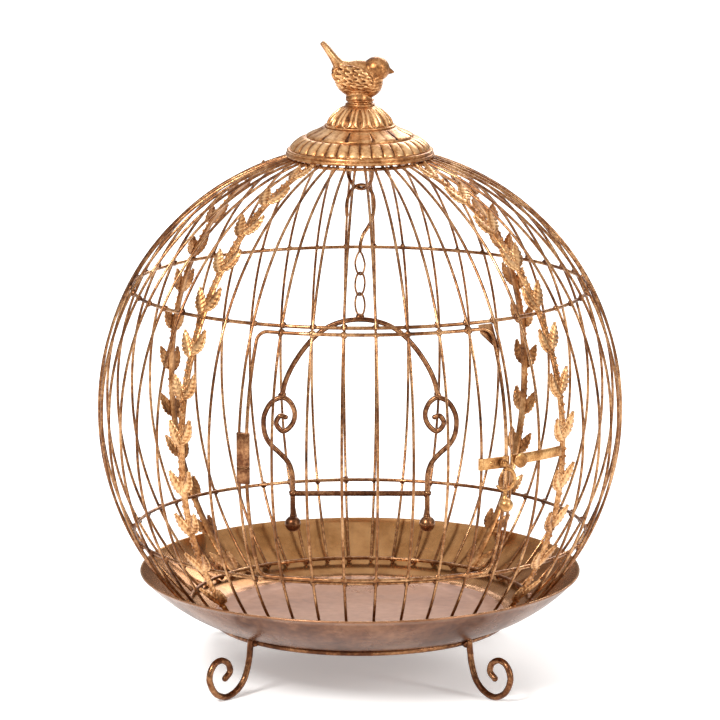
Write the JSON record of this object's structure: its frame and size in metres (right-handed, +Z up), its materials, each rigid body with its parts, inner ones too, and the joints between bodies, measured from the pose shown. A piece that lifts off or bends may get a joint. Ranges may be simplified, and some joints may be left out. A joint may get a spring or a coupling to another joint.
{
  "type": "wedding card box",
  "caption": "Round wire birdcage card holder in antique gold with a hinged door, hook latch, leaf garlands, hanging swing and a bird on the cap.",
  "frame": {"origin": "on the ground under the cage's axis", "axes": "+Z up along the cage's axis, the door faces -Y, +X to the viewer's right"},
  "size_m": [0.3792, 0.3792, 0.462],
  "materials": {
    "wire_bronze": "satin, rubbed antique gold over brown",
    "rod_bronze": "satin, rubbed antique gold over brown",
    "tray_bronze": "satin, pinkish brown bronze",
    "ornament_gold": "satin, brighter rubbed gold with brown hollows"
  },
  "bodies": {
    "cage": {"tray_pan": "tray_bronze", "base_ring": "rod_bronze", "foot_front_left": "rod_bronze", "foot_front_right": "rod_bronze", "foot_rear_left": "rod_bronze", "foot_rear_right": "rod_bronze", "jamb_left": "wire_bronze", "jamb_right": "wire_bronze", "bars_front": "wire_bronze", "bars_right": "wire_bronze", "bars_rear": "wire_bronze", "bars_left": "wire_bronze", "header_bars": "wire_bronze", "sill_bars": "wire_bronze", "top_ring": "wire_bronze", "upper_band": "wire_bronze", "lower_band": "wire_bronze", "bottom_hoop": "wire_bronze", "garland_front_left": "ornament_gold", "garland_front_right": "ornament_gold", "garland_rear_right": "ornament_gold", "garland_rear_left": "ornament_gold", "hinge_sleeve_upper": "wire_bronze", "hinge_sleeve_lower": "wire_bronze", "keeper_strap": "wire_bronze", "keeper_stud": "ornament_gold", "stop_gusset_upper": "wire_bronze", "stop_gusset_lower": "wire_bronze", "cap_rim": "ornament_gold", "cap_skirt": "ornament_gold", "cap_cone": "ornament_gold", "cap_dome": "ornament_gold", "cap_collar": "ornament_gold", "bird_finial": "ornament_gold", "swing_loop": "wire_bronze"},
    "door": {"door_frame": "wire_bronze", "door_bars": "wire_bronze", "latch_strap": "wire_bronze", "strap_rivet": "wire_bronze", "latch_pin": "wire_bronze"},
    "latch": {"latch_hook": "ornament_gold"},
    "hook": {"swing_hook": "wire_bronze", "hook_eye": "wire_bronze"},
    "link": {"chain_link": "wire_bronze"},
    "swing": {"swing_link": "wire_bronze", "braze_bead": "ornament_gold", "swing_arch": "wire_bronze", "swing_scroll_left": "wire_bronze", "swing_scroll_right": "wire_bronze", "swing_perch": "wire_bronze", "swing_ball_left": "wire_bronze", "swing_ball_right": "wire_bronze"}
  },
  "joints": [
    {"name": "door_hinge", "type": "hinge", "parent": "cage", "child": "door", "pos_m": [-0.07798, -0.17111, 0.193], "axis": [0, 0, -1], "range_deg": [0, 110]},
    {"name": "latch_pivot", "type": "hinge", "parent": "door", "child": "latch", "pos_m": [0.09921, -0.16543, 0.1885], "axis": [0.5143, -0.8576, 0], "range_deg": [-20, 24]},
    {"name": "hook_hang", "type": "hinge", "parent": "cage", "child": "hook", "pos_m": [0, 0, 0.354], "axis": [0.7071, -0.7071, 0], "range_deg": [-10, 10]},
    {"name": "link_hang", "type": "hinge", "parent": "hook", "child": "link", "pos_m": [0, 0, 0.29128], "axis": [0.7071, -0.7071, 0], "range_deg": [-12, 12]},
    {"name": "swing_hang", "type": "hinge", "parent": "link", "child": "swing", "pos_m": [0, 0, 0.27616], "axis": [0.7071, 0.7071, 0], "range_deg": [-15, 15]}
  ]
}
